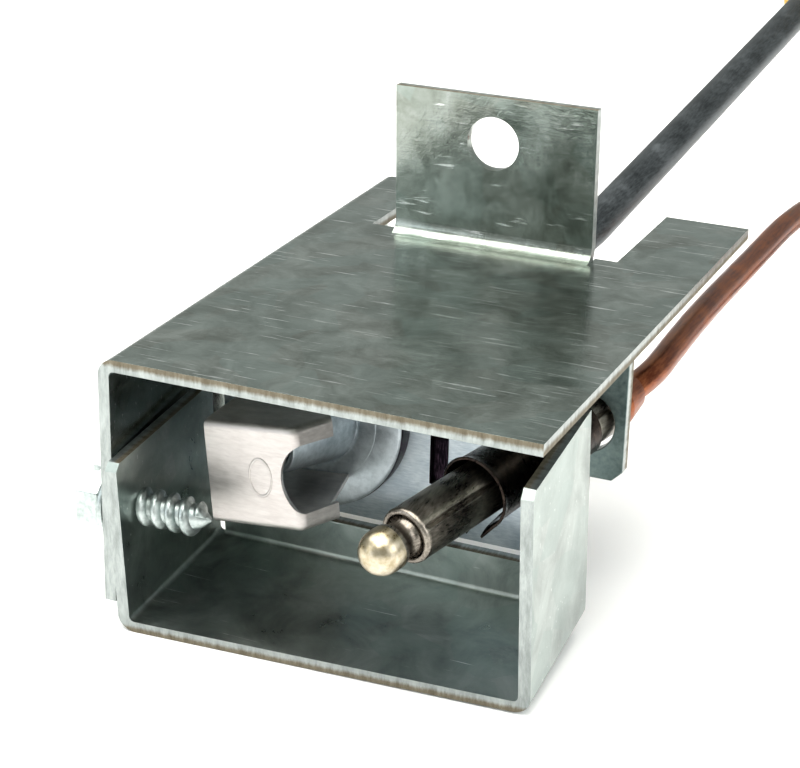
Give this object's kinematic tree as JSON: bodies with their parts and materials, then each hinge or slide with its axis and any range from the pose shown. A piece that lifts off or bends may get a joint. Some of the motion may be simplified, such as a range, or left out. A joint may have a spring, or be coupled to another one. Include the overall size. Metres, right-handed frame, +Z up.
{
  "type": "pilot and thermocouple assembly",
  "caption": "Bent steel pilot bracket with a hinged lower shield, flame hood, gas tube and a thermocouple on a copper lead, for a gas burner.",
  "frame": {"origin": "under the middle of the assembly without its free lead, on the surface that the shield stands on", "axes": "+X to the right seen from the flame side, +Y from the flame side back along the gas tube, +Z up, square to the top plate"},
  "size_m": [0.104, 0.2038, 0.0492],
  "materials": {
    "galvanised_sheet": "hot-dip galvanised sheet with fine rolling scratches and faint spangle",
    "zinc_plate": "clear zinc plated steel",
    "stainless": "bright stainless strip",
    "zinc_screw": "bright zinc plated steel",
    "heat_alloy": "bead of heat-resisting alloy, lightly tinted by flame",
    "dark_sheath": "heat-darkened steel tube",
    "spring_steel": "blued spring steel",
    "brass": "turned brass",
    "grey_tube": "drawn tube with a dull dark grey skin",
    "copper": "drawn copper, browned",
    "ceramic": "fired ceramic",
    "fibre": "red vulcanised fibre",
    "solder": "tinned solder bead",
    "tie_wire": "plastic-coated flat tie"
  },
  "bodies": {
    "bracket": {"top_bracket": "galvanised_sheet", "pilot_plate": "zinc_plate", "pilot_burner": "zinc_plate", "gas_orifice": "brass", "burner_nut": "brass", "pilot_hood": "stainless", "gas_tube": "grey_tube", "hot_junction": "heat_alloy", "thermocouple_sheath": "dark_sheath", "core_wire": "heat_alloy", "ceramic_insulator": "ceramic", "retaining_collar": "spring_steel", "lead_crimp": "brass", "burner_ferrule": "brass", "valve_ferrule": "brass", "lead": "copper", "lead_coil": "copper", "coil_tie": "tie_wire", "lead_tail": "copper", "contact_cone": "copper", "contact_washer": "fibre", "contact_button": "solder"},
    "shield": {"lower_shield": "galvanised_sheet"},
    "shield_screw": {"shield_screw": "zinc_screw"},
    "burner_tube_nut": {"burner_tube_nut": "brass"},
    "valve_tube_nut": {"valve_tube_nut": "brass"},
    "lead_nut": {"lead_nut": "brass"}
  },
  "joints": [
    {"name": "shield_swing", "type": "hinge", "parent": "bracket", "child": "shield", "pos_m": [-0.02212, -0.09056, 0.01342], "axis": [1, 0, 0], "range_deg": [-8, 4]},
    {"name": "shield_screw_turn", "type": "hinge", "parent": "bracket", "child": "shield_screw", "pos_m": [-0.02212, -0.09056, 0.01342], "axis": [1, 0, 0], "continuous": true},
    {"name": "burner_nut_turn", "type": "hinge", "parent": "bracket", "child": "burner_tube_nut", "pos_m": [-0.00962, -0.05836, 0.01812], "axis": [0, 1, 0], "continuous": true},
    {"name": "valve_nut_turn", "type": "hinge", "parent": "bracket", "child": "valve_tube_nut", "pos_m": [0.00923, 0.09491, 0.04157], "axis": [0.0459, 0.9897, 0.1359], "continuous": true},
    {"name": "lead_nut_turn", "type": "hinge", "parent": "bracket", "child": "lead_nut", "pos_m": [0.0726, 0.02505, 0.0048], "axis": [0, -1, 0], "continuous": true}
  ]
}
